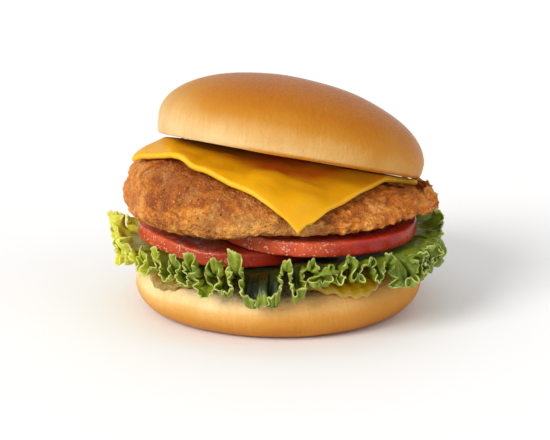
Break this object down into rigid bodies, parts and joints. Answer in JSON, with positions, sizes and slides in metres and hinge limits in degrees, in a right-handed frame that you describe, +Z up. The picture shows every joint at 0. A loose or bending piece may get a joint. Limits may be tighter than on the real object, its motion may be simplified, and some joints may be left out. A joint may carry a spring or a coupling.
{
  "type": "chicken burger",
  "caption": "Chicken burger in a soft round bun with breaded fillet, draped cheese, tomato, frilled lettuce and crinkle-cut pickles, its crown leaning back",
  "frame": {"origin": "centre of the lower bun half's flat base, on the surface that the burger stands on", "axes": "+Z up, -Y towards the open front where the cheese corner hangs down, +X to the right"},
  "size_m": [0.1237, 0.1226, 0.0877],
  "materials": {
    "bottom_bun": "soft baked bread, satin",
    "pickle": "wet pickled cucumber",
    "lettuce": "fresh leaf, satin",
    "tomato": "moist cut tomato",
    "chicken_fillet": "fried breadcrumb crust",
    "cheese_slice": "soft processed cheese, satin",
    "top_bun": "glazed baked bread"
  },
  "bodies": {
    "root": {"bottom_bun": "bottom_bun", "pickle_left_front": "pickle", "pickle_left": "pickle", "pickle_right_front": "pickle", "pickle_right": "pickle", "lettuce_front": "lettuce", "lettuce_back": "lettuce", "tomato_left": "tomato", "tomato_right": "tomato", "chicken_fillet": "chicken_fillet", "cheese_slice": "cheese_slice", "top_bun": "top_bun"}
  },
  "joints": []
}
